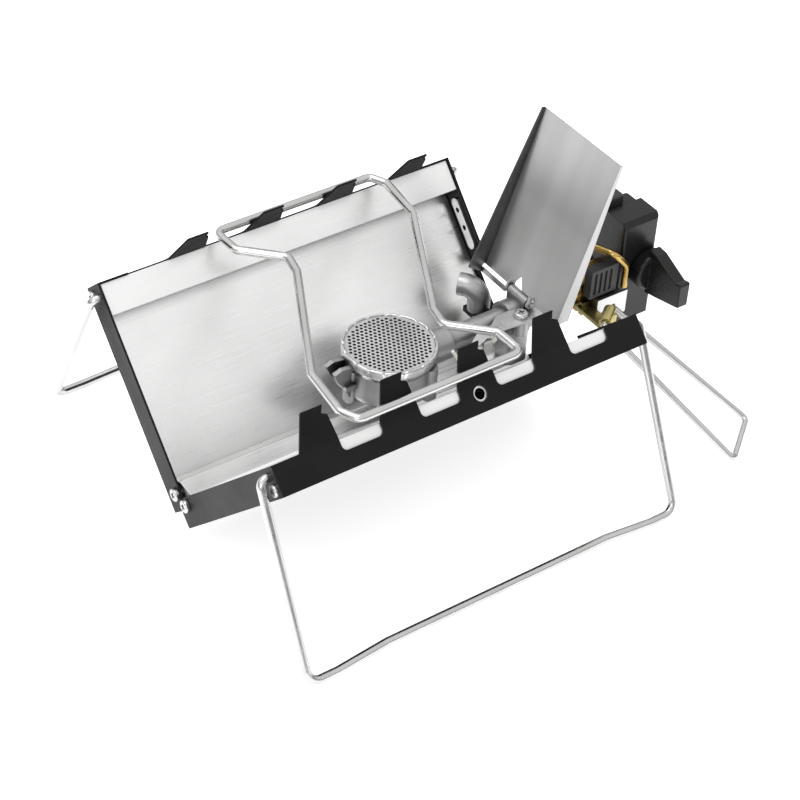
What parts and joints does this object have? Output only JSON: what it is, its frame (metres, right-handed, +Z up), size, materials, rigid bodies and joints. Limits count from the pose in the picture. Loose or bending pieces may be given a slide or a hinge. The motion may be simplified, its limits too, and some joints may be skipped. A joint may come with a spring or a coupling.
{
  "type": "camping stove",
  "caption": "Folding gas camping stove: two lined sheet-metal halves hinged as a V, wire legs, wire pan support, round burner, heat shield and side valve unit.",
  "frame": {"origin": "centre of the footprint's bounding box, on the ground under the feet", "axes": "+X along the rails towards the valve end, +Y to the rear, +Z up"},
  "size_m": [0.273, 0.2226, 0.1379],
  "materials": {
    "black_paint": "satin",
    "stainless": "brushed",
    "wire_steel": "drawn, bright",
    "cast_aluminium": "as cast",
    "pressed_steel": "pressed",
    "screw_steel": "zinc plated",
    "brass": "machined",
    "chromate_steel": "yellow passivated",
    "housing_plastic": "moulded, fine grain",
    "igniter_plastic": "moulded",
    "ceramic": "glazed"
  },
  "bodies": {
    "frame": {"spine_channel": "stainless", "hinge_bolts": "screw_steel", "burner_body": "cast_aluminium", "burner_screws": "screw_steel", "burner_rim": "pressed_steel", "burner_disc": "pressed_steel", "mixing_tube": "cast_aluminium", "burner_post": "cast_aluminium", "electrode_bracket": "pressed_steel", "bracket_screw": "screw_steel", "spark_electrode": "ceramic", "electrode_clip": "pressed_steel", "burner_ear": "cast_aluminium", "air_elbow": "cast_aluminium", "elbow_bracket": "black_paint", "shield_pin": "screw_steel", "valve_body": "brass", "valve_housing": "housing_plastic", "knob_shaft": "brass", "canister_socket": "brass", "igniter_block": "igniter_plastic", "valve_clip": "pressed_steel", "gas_tube": "brass", "side_leg_stay": "chromate_steel"},
    "rear_half": {"rear_shell": "black_paint", "rear_liner": "stainless", "rear_catch_plate": "pressed_steel", "rear_stop_screws": "screw_steel"},
    "front_half": {"front_shell": "black_paint", "front_liner": "stainless", "front_catch_plate": "pressed_steel", "front_stop_screws": "screw_steel"},
    "rear_leg_body": {"rear_leg": "wire_steel"},
    "front_leg_body": {"front_leg": "wire_steel"},
    "side_leg_body": {"side_leg": "wire_steel"},
    "pan_support_body": {"pan_support": "wire_steel"},
    "heat_shield_body": {"heat_shield": "stainless"},
    "knob_body": {"control_knob": "housing_plastic"},
    "button_body": {"igniter_button": "igniter_plastic"}
  },
  "joints": [
    {"name": "rear_half_fold", "type": "hinge", "parent": "frame", "child": "rear_half", "pos_m": [-0.03526, 0.0044, 0.018], "axis": [1, 0, 0], "range_deg": [0, 11]},
    {"name": "front_half_fold", "type": "hinge", "parent": "frame", "child": "front_half", "pos_m": [-0.03526, -0.0044, 0.018], "axis": [1, 0, 0], "range_deg": [-11, 0]},
    {"name": "pan_support_lift", "type": "slide", "parent": "frame", "child": "pan_support_body", "axis": [0, 0, 1], "range_m": [0, 0.0221]},
    {"name": "rear_leg_fold", "type": "hinge", "parent": "rear_half", "child": "rear_leg_body", "pos_m": [-0.03526, 0.06887, 0.08447], "axis": [-1, 0, 0], "range_deg": [0, 62]},
    {"name": "front_leg_fold", "type": "hinge", "parent": "front_half", "child": "front_leg_body", "pos_m": [-0.03526, -0.06887, 0.08447], "axis": [1, 0, 0], "range_deg": [0, 62]},
    {"name": "side_leg_fold", "type": "hinge", "parent": "frame", "child": "side_leg_body", "pos_m": [0.08074, -0.031, 0.055], "axis": [-0.7899, -0.6133, 0], "range_deg": [0, 60]},
    {"name": "heat_shield_fold", "type": "hinge", "parent": "frame", "child": "heat_shield_body", "pos_m": [0.05274, 0, 0.058], "axis": [0, -1, 0], "range_deg": [0, 46]},
    {"name": "knob_turn", "type": "hinge", "parent": "frame", "child": "knob_body", "pos_m": [0.12074, -0.017, 0.056], "axis": [0, -1, 0], "range_deg": [0, 270]},
    {"name": "igniter_press", "type": "slide", "parent": "frame", "child": "button_body", "axis": [0, 0, -1], "range_m": [0, 0.0025], "stiffness_N_per_m": 900}
  ],
  "couplings": [
    {"joint": "front_half_fold", "follows": "rear_half_fold", "ratio": -1},
    {"joint": "pan_support_lift", "follows": "rear_half_fold", "m_per_rad": 0.11459}
  ]
}
